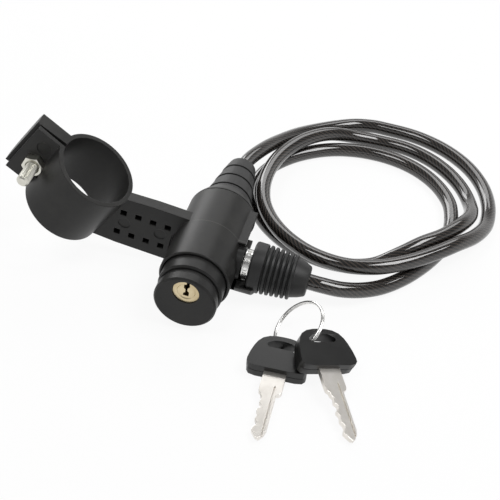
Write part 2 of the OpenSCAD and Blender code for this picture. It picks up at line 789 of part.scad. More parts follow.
module frame_bracket() {
    rim = 0.4;
    lip_root = 4;
    through = 2 * ear_reach;
    ear_mark_at = [-20.6, -6.4, ear_front - mark_depth];
    bore_r = sleeve_r - sleeve_wall;
    color("#2a2a2b") difference() {
        union() {
            along_barrel() {
                span(sleeve_r, -sleeve_back, sleeve_front - rim);
                translate([0, 0, sleeve_front - rim])
                    cylinder(r1 = sleeve_r, r2 = sleeve_r - rim, h = rim);
                for (side = [slot_w / 2, -slot_w / 2 - lip_t])
                    translate([sleeve_r - lip_root, side, -lip_back])
                        cube([lip_reach - sleeve_r + lip_root, lip_t, lip_back + lip_front]);
            }
            along_bracket() {
                difference() {
                    translate([0, 0, -arm_depth]) linear_extrude(arm_depth) arm_outline();
                    translate([0, 0, -pocket_depth]) linear_extrude(pocket_depth + 1) {
                        pockets();
                        difference() {
                            hollow_outline();
                            circle(r = sleeve_r - sleeve_wall / 2);
                        }
                    }
                    translate([0, 0, -mark_depth]) linear_extrude(1) face_marks();
                }
                along_collar() collar_body();
            }
        }
        along_barrel() {
            span(bore_r, -sleeve_back - 1, sleeve_front + 1);
            sleeve_slot();
        }
        along_bracket() along_collar() rotate([90, 0, 0])
            translate([0, 0, -5]) cylinder(r = collar_r, h = collar_length + 10);
        bolt_place() {
            cylinder(r = bolt_hole_r, h = through, center = true);
            translate([0, 0, ear_front - nut_seat]) hexagon(nut_af + 2 * nut_gap, through);
            translate([0, 0, bolt_seat - through]) cylinder(r = bolt_head_d / 2 + spot_gap, h = through);
        }
        along_bracket() along_collar() translate(ear_mark_at) cylinder(d = ear_mark_d, h = 1);
    }
}

module clamp_bolt() {
    back = bolt_seat;
    end = ear_front + bolt_end;
    cross_w = bolt_head_d - 3.6;
    cross_slot = [1.1, 2.6];
    color("#c9c7c0") bolt_place() difference() {
        union() {
            span(bolt_d / 2, back - eps, end - 0.6);
            translate([0, 0, end - 0.6]) cylinder(d1 = bolt_d, d2 = bolt_d - 1.2, h = 0.6);
            span(bolt_head_d / 2, back - bolt_head_t + 0.6, back);
            translate([0, 0, back - bolt_head_t])
                cylinder(d1 = bolt_head_d - 1.2, d2 = bolt_head_d, h = 0.6);
        }
        for (turn = [0, 90]) translate([0, 0, back - bolt_head_t]) rotate(turn)
            cube([cross_w, cross_slot[0], cross_slot[1]], center = true);
    }
}

module clamp_nut() {
    seat = ear_front - nut_seat;
    color("#c9c7c0") bolt_place() translate([0, 0, seat]) difference() {
        hexagon(nut_af, nut_t);
        translate([0, 0, -1]) cylinder(d = bolt_d + seat_gap, h = nut_t + 2);
    }
}

module key_ring() {
    color("#c6c7c8") at_lock() translate(ring_at) rotate([0, 0, ring_heading]) rotate([0, ring_lean, 0])
        rotate_extrude()
            for (side = [-1, 1]) translate([ring_r, side * wire_d / 2]) circle(d = wire_d + eps, $fn = 24);
}

// Outline of a key head: an arch on a straight lower edge
module head_outline() {
    half = head_w / 2;
    foot = 4.2;
    rise = head_h - foot;
    arch = [for (a = [0:12:180])
        [half * sign(cos(a)) * pow(abs(cos(a)), 2 / head_round), foot + rise * pow(sin(a), 2 / head_round)]];
    polygon(concat([[half - 1.2, 0], [half, 1.2]], arch, [[-half, 1.2], [-half + 1.2, 0]]));
}

// Slot through a head, its edges splayed so that the slanting ring can pass
module head_hole() {
    half = hole_w / 2 - hole_h / 2;
    waist = head_thin / 2 - hole_splay;
    for (up = [0, 1]) mirror([0, 0, up]) hull()
        for (side = [-half, half]) translate([side, hole_up, 0]) {
            translate([0, 0, -eps]) cylinder(d = hole_h, h = waist + eps, $fn = 32);
            translate([0, 0, waist])
                cylinder(d1 = hole_h, d2 = hole_h + 4 * hole_splay, h = 2 * hole_splay, $fn = 32);
        }
}

module key_head() {
    collar_w = shoulder_w + 2.6;
    difference() {
        union() {
            translate([0, 0, -head_thin / 2]) linear_extrude(head_thin) head_outline();
            translate([0, 0, -head_t / 2]) linear_extrude(head_t) intersection() {
                head_outline();
                translate([-head_w, 0]) square([2 * head_w, band_h]);
            }
            translate([-collar_w / 2, -1.4, -head_t / 2 + 0.6]) cube([collar_w, 2, head_t - 1.2]);
        }
        head_hole();
        translate([-tang_w / 2 - 0.05, -2, -blade_t / 2 - 0.05])
            cube([tang_w + 0.1, tang_h + 2.05, blade_t + 0.1]);
        translate([-shoulder_w / 2 - 0.05, -2, -blade_t / 2 - 0.05])
            cube([shoulder_w + 0.1, 2, blade_t + 0.1]);
    }
}

// Blade with a cut bitting, a point and a groove along its face
module key_blade(bitting) {
    step = (blade_length - 6) / len(bitting);
    cut_points = [for (i = [0:len(bitting) - 1])
        let(y = -4 - i * step)
        each [[blade_w / 2 - bitting[i], y - step * 0.3], [blade_w / 2 - bitting[i], y - step * 0.6],
            [blade_w / 2 - 0.2, y - step * 0.95]]];
    difference() {
        translate([0, 0, -blade_t / 2]) linear_extrude(blade_t) {
            polygon(concat([[-blade_w / 2, 0], [-blade_w / 2, -blade_length + 3], [-0.8, -blade_length],
                [0.8, -blade_length]],
                [for (i = [len(cut_points) - 1:-1:0]) cut_points[i]], [[blade_w / 2, -3], [blade_w / 2, 0]]));
            translate([-shoulder_w / 2, -3]) square([shoulder_w, 3 - 0.05]);
            translate([-tang_w / 2, -3]) square([tang_w, tang_h + 3]);
        }
        translate([-1, -blade_length - 1, blade_t / 2 - 0.5]) cube([1.4, blade_length - 5, 1]);
        translate([-0.4, -blade_length - 1, -blade_t / 2 - 0.5]) cube([1.4, blade_length - 5, 1]);
    }
}

module place_key(at, turn) {
    at_lock() translate(at) rotate([0, 0, turn[2]]) rotate([turn[0], 0, 0]) rotate([0, turn[1], 0]) children();
}

bitting_1 = [1.2, 0.6, 1.8, 0.9, 1.5, 0.5];
bitting_2 = bitting_1;

module key_1_blade() {
    color("#cfcdc6") place_key(key_1_at, key_1_turn) key_blade(bitting_1);
}

module key_1_head() {
    color("#232324") place_key(key_1_at, key_1_turn) key_head();
}

module key_2_blade() {
    color("#cfcdc6") place_key(key_2_at, key_2_turn) key_blade(bitting_2);
}

module key_2_head() {
    color("#232324") place_key(key_2_at, key_2_turn) key_head();
}

lock_housing();
rear_cap();
cylinder_shell();
key_plug();
wafers();
wafer_springs();
plug_retaining_pin();
latch();
port_bush();
cable_anchor();
anchor_pin();
boot_a();
cable_lead();
cable_coil();
cable_tail();
plug_pin();
plug_ferrule();
boot_b();
frame_bracket();
clamp_bolt();
clamp_nut();
key_ring();
key_1_blade();
key_1_head();
key_2_blade();
key_2_head();
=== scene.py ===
import math

import bpy
from mathutils import Euler, Matrix, Quaternion, Vector


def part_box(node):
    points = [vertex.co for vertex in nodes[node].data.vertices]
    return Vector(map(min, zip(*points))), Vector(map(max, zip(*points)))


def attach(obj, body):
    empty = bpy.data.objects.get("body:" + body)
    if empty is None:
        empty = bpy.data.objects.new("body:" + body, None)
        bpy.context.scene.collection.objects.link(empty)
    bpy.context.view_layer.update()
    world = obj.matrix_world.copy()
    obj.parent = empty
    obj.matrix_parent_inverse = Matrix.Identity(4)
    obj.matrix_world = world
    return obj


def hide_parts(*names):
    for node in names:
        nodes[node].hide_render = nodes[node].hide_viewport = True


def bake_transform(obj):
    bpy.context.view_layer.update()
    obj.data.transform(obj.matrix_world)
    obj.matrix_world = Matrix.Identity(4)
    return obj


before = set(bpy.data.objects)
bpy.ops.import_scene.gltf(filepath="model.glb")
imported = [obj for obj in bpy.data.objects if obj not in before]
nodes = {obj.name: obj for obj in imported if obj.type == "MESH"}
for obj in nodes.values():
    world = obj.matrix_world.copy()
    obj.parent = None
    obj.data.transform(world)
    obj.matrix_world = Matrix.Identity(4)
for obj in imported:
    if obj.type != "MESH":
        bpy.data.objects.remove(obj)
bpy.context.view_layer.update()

mm = 0.001
samePoint = 0.002  # mm, points nearer than this are merged
onCut = 0.001  # mm, points nearer than this to a cut lie on it

# where the barrel's axis crosses the front face of the bracket's arm
lock = {"x": 5.497, "y": 12.854, "axisHeight": 14.2}


def fromLock(x, y, z):
    return Vector((lock["x"] + x, lock["y"] + y, z)) * mm


def deselect():
    if bpy.context.object and bpy.context.object.mode != "OBJECT":
        bpy.ops.object.mode_set(mode="OBJECT")
    bpy.ops.object.select_all(action="DESELECT")


def pick(obj):
    deselect()
    obj.select_set(True)
    bpy.context.view_layer.objects.active = obj
    return obj


def settle(obj):
    pick(obj)
    bpy.ops.object.transform_apply(location=True, rotation=True, scale=True)
    return obj


def editing(obj, select="SELECT"):
    pick(obj)
    bpy.ops.object.mode_set(mode="EDIT")
    bpy.ops.mesh.select_mode(type="VERT")
    bpy.ops.mesh.select_all(action=select)


def editingFaces(obj, wanted):
    # only the faces that are wanted are selected
    editing(obj, "DESELECT")
    bpy.ops.mesh.select_mode(type="FACE")
    bpy.ops.object.mode_set(mode="OBJECT")
    for face in obj.data.polygons:
        face.select = wanted(face)
    bpy.ops.object.mode_set(mode="EDIT")


def tidied(obj):
    # doubles merged, holes closed, faces turned outwards
    editing(obj)
    bpy.ops.mesh.remove_doubles(threshold=samePoint * mm)
    bpy.ops.mesh.fill_holes(sides=0)
    bpy.ops.mesh.select_all(action="SELECT")
    bpy.ops.mesh.normals_make_consistent(inside=False)
    bpy.ops.object.mode_set(mode="OBJECT")
    return obj


def smoothed(obj, angle):
    pick(obj)
    bpy.ops.object.shade_smooth_by_angle(angle=math.radians(angle))
    return obj


def shaped(obj, kind, **values):
    # a modifier that is applied at once
    pick(obj)
    bpy.ops.object.modifier_add(type=kind)
    modifier = obj.modifiers[-1]
    for key, value in values.items():
        setattr(modifier, key, value)
    bpy.ops.object.modifier_apply(modifier=modifier.name)
    return obj


def rounded(obj, width, segments, angle):
    return shaped(
        obj, "BEVEL", width=width * mm, segments=segments, limit_method="ANGLE",
        angle_limit=math.radians(angle), miter_outer="MITER_ARC",
    )


def turned(name, profile, sides):
    # as on a lathe: a ring is drawn out from (height, radius) to (height, radius)
    deselect()
    height, radius = profile[0]
    bpy.ops.mesh.primitive_circle_add(vertices=sides, radius=radius * mm, location=(0, 0, height * mm))
    obj = settle(bpy.context.object)
    obj.name = name
    editing(obj)
    for (lowZ, lowR), (highZ, highR) in zip(profile, profile[1:]):
        bpy.ops.mesh.extrude_edges_move(TRANSFORM_OT_translate={"value": (0, 0, (highZ - lowZ) * mm)})
        scale = highR / lowR
        bpy.ops.transform.resize(value=(scale, scale, 1), center_override=(0, 0, highZ * mm))
    bpy.ops.object.mode_set(mode="OBJECT")
    return tidied(obj)


def stepped(height, radius, steps):
    # points of a profile, given by their steps along and out from one point
    return [(height + along, radius + out) for along, out in steps]


def plate(name, outline, low, high):
    # a flat piece of this outline, from one height to another
    deselect()
    bpy.ops.mesh.primitive_circle_add(vertices=len(outline), radius=mm, fill_type="NGON")
    obj = bpy.context.object
    obj.name = name
    for vertex, (x, y) in zip(obj.data.vertices, outline):
        vertex.co = (x * mm, y * mm, low * mm)
    editing(obj)
    bpy.ops.mesh.extrude_region_move(TRANSFORM_OT_translate={"value": (0, 0, (high - low) * mm)})
    bpy.ops.object.mode_set(mode="OBJECT")
    return tidied(obj)


def carve(obj, *cutters, how="DIFFERENCE"):
    for cutter in cutters:
        shaped(obj, "BOOLEAN", object=cutter, operation=how, solver="EXACT")
        bpy.data.objects.remove(cutter, do_unlink=True)
    return obj


def levelCut(place, **cleared):
    # through what is being edited, and closed
    bpy.ops.mesh.bisect(plane_co=place, plane_no=(0, 0, 1), threshold=onCut * mm, use_fill=True, **cleared)


def put(obj, frameOfPiece, smooth=35):
    # from its own frame to its place in the scene
    obj.matrix_world = frameOfPiece
    settle(obj)
    smoothed(obj, smooth)
    # flat faces stay flat beside their rounded edges
    return shaped(obj, "WEIGHTED_NORMAL", keep_sharp=True)


def spun(degrees, axis):
    return Matrix.Rotation(math.radians(degrees), 4, axis)


cameraView = {
    "target": (13, 18.8, 0),  # what it looks at, on the floor
    "distance": 450,
    "elevation": 41,
    "heading": 12.1,
    "roll": 3,
    "lens": 77.14,
    "sensor": 36,
    "nearest": 10,
}
facing = Euler((math.radians(90 - cameraView["elevation"]), 0, math.radians(cameraView["heading"])))
facing = facing.to_quaternion() @ Quaternion((0, 0, 1), math.radians(cameraView["roll"]))
place = fromLock(*cameraView["target"]) + facing @ Vector((0, 0, cameraView["distance"] * mm))
bpy.ops.object.camera_add(location=place, rotation=facing.to_euler())
camera = bpy.context.object
camera.name = "camera"
camera.data.lens = cameraView["lens"]
camera.data.sensor_width = cameraView["sensor"]
camera.data.clip_start = cameraView["nearest"] * mm
bpy.context.scene.camera = camera
print("camera is set")

# One coated wire rope: out of the rear boot, two and a quarter loops, into the plug.
# Places are in mm from the lock's, as in the CAD, and heights from the floor.
cable = {
    "diameter": 6.4,
    "laid": 3.3,  # height of its middle on the floor
    "raised": 10.2,  # and where a loop lies on another
    "coilAt": (54, 60),
    "coilFrom": 90,  # degrees round the coil
    "coilTo": 900,
    "coilStep": 15,
    "reachStep": 45,
    "reach": (
        60, 58.2, 53.8, 47.6, 50.8, 47, 43.6, 44.6, 48.2,
        47.2, 46.4, 40.2, 43, 45.4, 48.8, 42.8, 38, 37, 38.8,
    ),
    # degrees where it begins to rise, is up, begins to fall and is down
    "humps": ((172, 214, 408, 452), (518, 558, 584, 624)),
    "bootEnd": (0, 54.4, 14.2),
    "lead": (
        (1, 62, 13.9), (3.5, 70, 13.1), (6.6, 78.4, 11.6), (10.5, 87, 9.6), (16, 97, 7.3),
        (23.2, 106.2, 5.1), (31.8, 113.8, 3.8), (39.8, 118.4, 3.4),
    ),
    "tail": (
        (92.7, 47, 3.3), (91, 39.6, 3.3), (88, 32.2, 3.3), (83.5, 24, 3.3), (77.5, 15.6, 3.3),
        (70.2, 8, 3.6), (62.8, 2, 5.2), (55, -2.2, 7.3),
    ),
    "portStation": 4,
    "portTilt": 6,
    "plugBootEnd": 42.4,  # from the barrel's axis along the port
    "straight": 5,  # before the plug's boot
    "insideBoot": 8,
    "pointsInBoot": 8,
    "sides": 20,
    "step": 1.6,
    "finePoints": 24,  # between two points of the route
    "smooth": 50,
}


def smoothStep(t):
    t = min(max(t, 0), 1)
    return t * t * (3 - 2 * t)


def through(a, b, c, d, t):
    # the curve between b and c that runs on smoothly from a and to d
    return b + 0.5 * t * (c - a + t * (2 * a - 5 * b + 4 * c - d + t * (3 * (b - c) + d - a)))


def coilPoint(angle):
    reach = cable["reach"]
    q = (angle - cable["coilFrom"]) / cable["reachStep"]
    last = len(reach) - 1
    i = min(int(q), last - 1)
    r = through(reach[max(i - 1, 0)], reach[i], reach[i + 1], reach[min(i + 2, last)], q - i)
    lift = 0
    for up, over, off, down in cable["humps"]:
        lift += smoothStep((angle - up) / (over - up)) * (1 - smoothStep((angle - off) / (down - off)))
    a = math.radians(angle)
    return Vector((
        cable["coilAt"][0] - r * math.cos(a),
        cable["coilAt"][1] + r * math.sin(a),
        cable["laid"] + (cable["raised"] - cable["laid"]) * lift,
    ))


def alongPort(distance):
    a = math.radians(cable["portTilt"])
    height = lock["axisHeight"] - distance * math.sin(a)
    return Vector((distance * math.cos(a), -cable["portStation"], height))


def evenly(points, step):
    # a smooth curve through the points, with points of its own a step apart
    fine = []
    for i in range(len(points) - 1):
        a, b, c, d = (points[max(0, min(j, len(points) - 1))] for j in (i - 1, i, i + 1, i + 2))
        fine += [through(a, b, c, d, k / cable["finePoints"]) for k in range(cable["finePoints"])]
    fine.append(points[-1])
    run = [0]
    for a, b in zip(fine, fine[1:]):
        run.append(run[-1] + (b - a).length)
    count = round(run[-1] / step)
    result, i = [], 0
    for k in range(count + 1):
        s = run[-1] * k / count
        while i < len(run) - 2 and run[i + 1] < s:
            i += 1
        result.append(fine[i].lerp(fine[i + 1], (s - run[i]) / (run[i + 1] - run[i])))
    return result


def cordMesh(name, line):
    # a round tube on the line; its UV map runs along it and round it
    curve = bpy.data.curves.new(name, "CURVE")
    curve.dimensions = "3D"
    spline = curve.splines.new("POLY")
    spline.points.add(len(line) - 1)
    for point, p in zip(spline.points, line):
        point.co = (*(p * mm), 1)
    curve.bevel_depth = cable["diameter"] / 2 * mm
    curve.bevel_resolution = cable["sides"] // 4 - 1
    curve.use_fill_caps = True
    obj = bpy.data.objects.new(name, curve)
    bpy.context.scene.collection.objects.link(obj)
    pick(obj)
    bpy.ops.object.convert(target="MESH")
    return smoothed(bpy.context.object, cable["smooth"])


turns = [coilPoint(a) for a in range(cable["coilFrom"], cable["coilTo"] + 1, cable["coilStep"])]
intoCoil = (coilPoint(cable["coilFrom"] + 1) - turns[0]).normalized()
outOfCoil = (turns[-1] - coilPoint(cable["coilTo"] - 1)).normalized()
leadPoints = [Vector(cable["bootEnd"]) - Vector((0, cable["insideBoot"], 0)), Vector(cable["bootEnd"])]
leadPoints += [Vector(p) for p in cable["lead"]] + [turns[0] - cable["diameter"] * intoCoil]
tailPoints = [turns[-1] + cable["diameter"] * outOfCoil] + [Vector(p) for p in cable["tail"]]
plugBootEnd = cable["plugBootEnd"]
tailPoints += [
    alongPort(plugBootEnd + cable["straight"]), alongPort(plugBootEnd),
    alongPort(plugBootEnd - cable["insideBoot"]),
]
offset = Vector((lock["x"], lock["y"], 0))
route = evenly([p + offset for p in leadPoints + turns + tailPoints], cable["step"])
split = min(range(len(route)), key=lambda i: (route[i] - turns[-1] - offset).length)
loopsLine, endLine = route[:split + 1], route[split:]

cableLoops = cordMesh("cableLoops", loopsLine)
cableEnd = cordMesh("cableEnd", endLine)

# on the port, Z runs outwards and Y up
portWay = alongPort(1) - alongPort(0)
portFrame = Matrix.Translation((alongPort(0) + offset) * mm)
portFrame = portFrame @ portWay.to_track_quat("Z", "Y").to_matrix().to_4x4()

plugBootShape = {
    "start": 18.9,  # from the barrel's axis along the port
    "length": 23.5,
    "front": 10.2,  # radii
    "lastRib": 9.2,
    "back": 6.4,
    "frontLength": 5,
    "ribs": 6,
    "ribPitch": 2.05,
    # steps along and out
    "frontEdge": ((0, -0.9), (0.25, -0.3), (0.9, 0)),
    "groove": ((-0.15, 0.05), (0.1, -0.25), (0.3, -1.2), (0.65, -1.2), (0.85, -0.3), (1.15, 0)),
    "lastGroove": ((-0.1, -0.1), (0.1, -0.45), (0.25, -1.1), (0.6, -1.2)),
    "backEdge": ((-0.9, 0), (-0.3, -0.35), (0, -1)),
    "taper": (0.55, 0.8),  # share of the way back, and how much thicker it is there
    "sides": 64,
    "smooth": 50,
}


def plugBootProfile(boot):
    start, front, lastRib = boot["start"], boot["front"], boot["lastRib"]
    profile = stepped(start, front, boot["frontEdge"])
    for i in range(boot["ribs"]):
        z = start + boot["frontLength"] + i * boot["ribPitch"]
        profile += stepped(z, front + (lastRib - front) * (i + 1) / boot["ribs"], boot["groove"])
    z = start + boot["frontLength"] + boot["ribs"] * boot["ribPitch"]
    end = start + boot["length"]
    share, thicker = boot["taper"]
    profile += stepped(z, lastRib, boot["lastGroove"])
    profile.append((z + (end - z) * share, boot["back"] + thicker))
    return profile + stepped(end, boot["back"], boot["backEdge"])


plugBoot = turned("plugBoot", plugBootProfile(plugBootShape), plugBootShape["sides"])
put(plugBoot, portFrame, plugBootShape["smooth"])

ferruleShape = {
    "start": 15.7,  # from the barrel's axis along the port
    "length": 3.1,
    "radius": 6.3,
    "bore": 3.6,
    "rim": (0.3, 0.35),  # how long and how deep its chamfer is
    "plain": 0.75,  # beside the teeth
    "teeth": 15,
    "toothDepth": 0.45,
    "toothEdge": 0.12,
    "within": 0.1,  # how near a face lies to the middle of the band
    "smooth": 30,
}


def ferruleProfile(ferrule):
    low, radius, bore = ferrule["start"], ferrule["radius"], ferrule["bore"]
    high = low + ferrule["length"]
    rimLong, rimDeep = ferrule["rim"]
    return (
        (low, bore), (low, radius - rimDeep), (low + rimLong, radius), (low + ferrule["plain"], radius),
        (high - ferrule["plain"], radius), (high - rimLong, radius), (high, radius - rimDeep), (high, bore),
        (low, bore),
    )


def betweenTeeth(face):
    # every second face of the band in the middle of its outside
    middle = (ferruleShape["start"] + ferruleShape["length"] / 2) * mm
    wall = (ferruleShape["bore"] + ferruleShape["radius"]) / 2 * mm
    pitch = 360 / ferruleShape["teeth"]
    onBand = abs(face.center.z - middle) < ferruleShape["within"] * mm and face.center.xy.length > wall
    turn = math.degrees(math.atan2(face.center.y, face.center.x)) % pitch
    return onBand and turn < pitch / 2


plugFerrule = turned("plugFerrule", ferruleProfile(ferruleShape), ferruleShape["teeth"] * 2)
editingFaces(plugFerrule, betweenTeeth)
bpy.ops.mesh.inset(
    thickness=ferruleShape["toothEdge"] * mm, depth=-ferruleShape["toothDepth"] * mm, use_individual=True,
)
bpy.ops.object.mode_set(mode="OBJECT")
put(plugFerrule, portFrame, ferruleShape["smooth"])

# the half cup on the lock that takes the boot, below the ferrule
skirtShape = {
    "start": 9.5,  # from the barrel's axis along the port
    "seat": 18.7,
    "end": 22.5,
    "hole": 6.6,  # radii
    "inside": 10.4,
    "radius": 11.3,
    "shoulder": ((0, 9.6), (0.8, 10.6)),  # along, and radius
    "shoulderLong": 2.4,
    "rim": (0.8, 0.25),  # how long its slope is, and how thick its end
    "below": 3,  # its top edge, under the axis at its end
    "clearOfLip": (15.05, -8.9),  # the bracket slides past it
    "clearOfSleeve": 15.1,
    "roomHalf": (20, 30),  # half the length that is cleared for the lip, and for the sleeve
    "roomSides": 96,
    "sides": 64,
    "smooth": 40,
}


def skirtProfile(skirt):
    start, end, inside, radius = skirt["start"], skirt["end"], skirt["inside"], skirt["radius"]
    rimLong, rimThick = skirt["rim"]
    shoulder = [(start + along, wide) for along, wide in skirt["shoulder"]]
    return [(start, skirt["hole"])] + shoulder + [
        (start + skirt["shoulderLong"], radius), (end - rimLong, radius), (end, inside + rimThick),
        (end, inside), (skirt["seat"], inside), (skirt["seat"], skirt["hole"]), (start, skirt["hole"]),
    ]


portSkirt = turned("portSkirt", skirtProfile(skirtShape), skirtShape["sides"])
put(portSkirt, portFrame, skirtShape["smooth"])
lipReach, lipUnder = skirtShape["clearOfLip"]
lipHalf, sleeveHalf = skirtShape["roomHalf"]
lipRoom = plate("lipRoom", (
    (-lipHalf, lipUnder), (lipHalf, lipUnder), (lipHalf, lipHalf), (-lipHalf, lipHalf),
), 0, lipReach)
put(lipRoom, portFrame)
sleeveRoom = turned("sleeveRoom", (
    (-sleeveHalf, skirtShape["clearOfSleeve"]), (sleeveHalf, skirtShape["clearOfSleeve"]),
), skirtShape["roomSides"])
put(sleeveRoom, Matrix.Translation(fromLock(0, 0, lock["axisHeight"])) @ spun(90, "X"))
carve(portSkirt, lipRoom, sleeveRoom)
editing(portSkirt)
topEdge = alongPort(skirtShape["end"]) + offset - Vector((0, 0, skirtShape["below"]))
levelCut(topEdge * mm, clear_outer=True)
bpy.ops.object.mode_set(mode="OBJECT")
tidied(portSkirt)
smoothed(portSkirt, skirtShape["smooth"])
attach(portSkirt, "lock")
pluggedIn = ((plugBoot, "boot_b", "black_rubber"), (plugFerrule, "plug_ferrule", "chrome"))
for piece, node, slotName in pluggedIn:
    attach(piece, "cable_plug")
    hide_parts(node)
print("plug's boot, ferrule and skirt are turned")


def lengthOf(line):
    return sum((b - a).length for a, b in zip(line, line[1:])) * mm


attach(cableLoops, "lock")
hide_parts("cable_lead", "cable_coil")
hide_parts("cable_tail")
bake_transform(cableEnd)
print("cable is laid", round(lengthOf(route) * 1000), "mm")

keyShape = {
    # where the head's lower edge lies, and its turns about X, Y and Z
    "places": (((39.5, -49.8, 3.32), (2.1, 1.1, 1)), ((58.4, -45.4, 7.03), (10.5, 16.5, 28.4))),
    # half the head's outline, from the middle of its lower edge to the top
    "headHalf": (
        (7.6, 0), (10.2, 0.5), (11.2, 1.8), (11.3, 3.4), (10.9, 6.6), (10.1, 10), (9.2, 12.4), (7.7, 14.6),
        (5.4, 16), (2.6, 16.6), (0.8, 16.7),
    ),
    "headTall": 16.6,
    "headReach": 8.4,  # from its middle to its edge
    "headEdge": 0.75,
    "thickBelow": 6,
    "thickAbove": 4.9,
    "seam": 0.22,
    "ledge": 0.001,
    "slot": {
        "up": 12.4, "half": 4.1, "radius": 1.5, "arch": 1, "footHalf": 2.5, "footDrop": 0.45,
        "rightEnd": (-60, -20, 20), "leftEnd": (160, 200, 240), "cutHalf": 5, "edge": 0.28,
    },
    # the blade's outline, clockwise from the shoulder's upper left
    "blade": (
        (-4.26, 4), (4.26, 4), (4.26, -8.42), (3.74, -9.52), (2.52, -9.88), (2.52, -25.8), (1.91, -28),
        (0.61, -29.83), (-0.26, -30.29), (-1.39, -28.91), (-2.78, -27.08), (-2.26, -25.62), (-1.65, -24.8),
        (-1.74, -23.52), (-2.61, -22.23), (-2.26, -20.95), (-2.09, -19.95), (-2.87, -18.67),
        (-2.61, -17.57), (-1.65, -16.74), (-1.65, -15.74), (-2.7, -14.64), (-2.44, -13.36), (-2.17, -12.44),
        (-2.96, -11.35), (-3.13, -10.25), (-4, -9.52), (-4.26, -8.42),
    ),
    "bladeThick": 2,
    "bladeEdge": 0.14,
    "grooves": ((1.1, 0.5, 1), (-0.5, 0.5, -1)),  # place, width and side of the blade
    "grooveDepth": 0.85,
    "grooveStart": (-6.8, -5.9),  # at its sides, and at its middle
    "groovePast": (-36, 2),  # beyond the tip, and off the blade
    "headSmooth": 40,
    "bladeSmooth": 30,
}


def keyFrame(at, turn):
    aboutX, aboutY, aboutZ = turn
    return Matrix.Translation(fromLock(*at)) @ spun(aboutZ, "Z") @ spun(aboutX, "X") @ spun(aboutY, "Y")


def slotOutline(slot):
    # round ends, an arched upper side and a flat lower one
    radius, up, arch = slot["radius"], slot["up"], slot["arch"]
    bend = [
        (slot["half"] * math.cos(a), up + arch * (math.sin(a) - 0.5))
        for a in (math.radians(d) for d in range(0, 181, 30))
    ]
    foot = up - slot["footDrop"] * arch
    centres = [(*bend[0], degrees) for degrees in slot["rightEnd"]]
    centres += [(x, y, 90) for x, y in bend[1:-1]]
    centres += [(*bend[-1], degrees) for degrees in slot["leftEnd"]]
    centres += [(-slot["footHalf"], foot, -90), (slot["footHalf"], foot, -90)]
    return [
        (x + radius * math.cos(t), y + radius * math.sin(t))
        for x, y, t in ((x, y, math.radians(degrees)) for x, y, degrees in centres)
    ]


def keyHead(name):
    half = keyShape["headHalf"]
    outline = list(half) + [(-x, y) for x, y in reversed(half)]
    thick = keyShape["thickBelow"] / 2
    seam, tall, slot = keyShape["seam"], keyShape["headTall"], keyShape["slot"]
    head = plate(name, outline, -thick, -seam / 2)
    # its lower half is drawn in for the parting groove, and out again for the upper half
    editingFaces(head, lambda face: face.normal.z > 0.9)
    bpy.ops.mesh.inset(thickness=seam * mm, depth=0)
    for rise in (seam, keyShape["ledge"]):
        bpy.ops.mesh.extrude_region_move(TRANSFORM_OT_translate={"value": (0, 0, rise * mm)})
    wide = 1 + seam / keyShape["headReach"]
    bpy.ops.transform.resize(value=(wide, wide, 1), center_override=(0, tall / 2 * mm, seam / 2 * mm))
    bpy.ops.mesh.extrude_region_move(TRANSFORM_OT_translate={"value": (0, 0, (thick - seam / 2) * mm)})
    bpy.ops.object.mode_set(mode="OBJECT")
    tidied(head)
    # thinner towards the ring
    for vertex in head.data.vertices:
        up = min(max(vertex.co.y / (tall * mm), 0), 1)
        vertex.co.z *= 1 + (keyShape["thickAbove"] / keyShape["thickBelow"] - 1) * up
    rounded(head, keyShape["headEdge"], segments=3, angle=55)
    carve(head, plate("slotCutter", slotOutline(slot), -slot["cutHalf"], slot["cutHalf"]))
    return rounded(head, slot["edge"], segments=2, angle=60)


def keyBlade(name):
    thick = keyShape["bladeThick"] / 2
    sides, middle = keyShape["grooveStart"]
    end, off = keyShape["groovePast"]
    blade = plate(name, keyShape["blade"], -thick, thick)
    for x, width, side in keyShape["grooves"]:
        deep = thick - keyShape["grooveDepth"]
        low, high = sorted((side * deep, side * (deep + off)))
        outline = ((x, sides), (x + width / 2, middle), (x + width, sides), (x + width, end), (x, end))
        carve(blade, plate("groove", outline, low, high))
    return rounded(blade, keyShape["bladeEdge"], segments=2, angle=40)


for number, (at, turn) in enumerate(keyShape["places"], 1):
    head, blade = keyHead(f"keyHead{number}"), keyBlade(f"keyBlade{number}")
    put(head, keyFrame(at, turn), keyShape["headSmooth"])
    put(blade, keyFrame(at, turn), keyShape["bladeSmooth"])
    for piece, node, slotName in ((head, "head", "black_plastic"), (blade, "blade", "nickel")):
        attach(piece, f"key_{number}")
        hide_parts(f"key_{number}_{node}")
print("keys are cut")

splitRing = {
    "at": (43.56, -28.47, 8.29),
    "lean": 40.8,
    "heading": 198.9,
    "radius": 11.1,
    "wireRadius": 0.5,
    "wide": 1,  # how the round wire is flattened
    "high": 0.78,
    "turns": 2,
    "wound": 712,  # degrees
    "sides": 12,
    "steps": 150,
    "smooth": 40,
}
deselect()
bpy.ops.mesh.primitive_circle_add(
    vertices=splitRing["sides"], radius=splitRing["wireRadius"] * mm, rotation=(math.radians(90), 0, 0),
)
ring = settle(bpy.context.object)
ring.name = "splitRing"
for vertex in ring.data.vertices:
    vertex.co.x = vertex.co.x * splitRing["wide"] + splitRing["radius"] * mm
    vertex.co.z = (vertex.co.z - splitRing["turns"] / 2 * mm) * splitRing["high"]
shaped(
    ring, "SCREW", angle=math.radians(splitRing["wound"]), steps=splitRing["steps"],
    render_steps=splitRing["steps"], screw_offset=splitRing["high"] * splitRing["turns"] * mm,
    use_merge_vertices=False,
)
tidied(ring)
ringFrame = Matrix.Translation(fromLock(*splitRing["at"])) @ spun(splitRing["heading"], "Z")
put(ring, ringFrame @ spun(splitRing["lean"], "Y"), splitRing["smooth"])
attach(ring, "key_ring")
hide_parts("key_ring")
print("ring is wound")

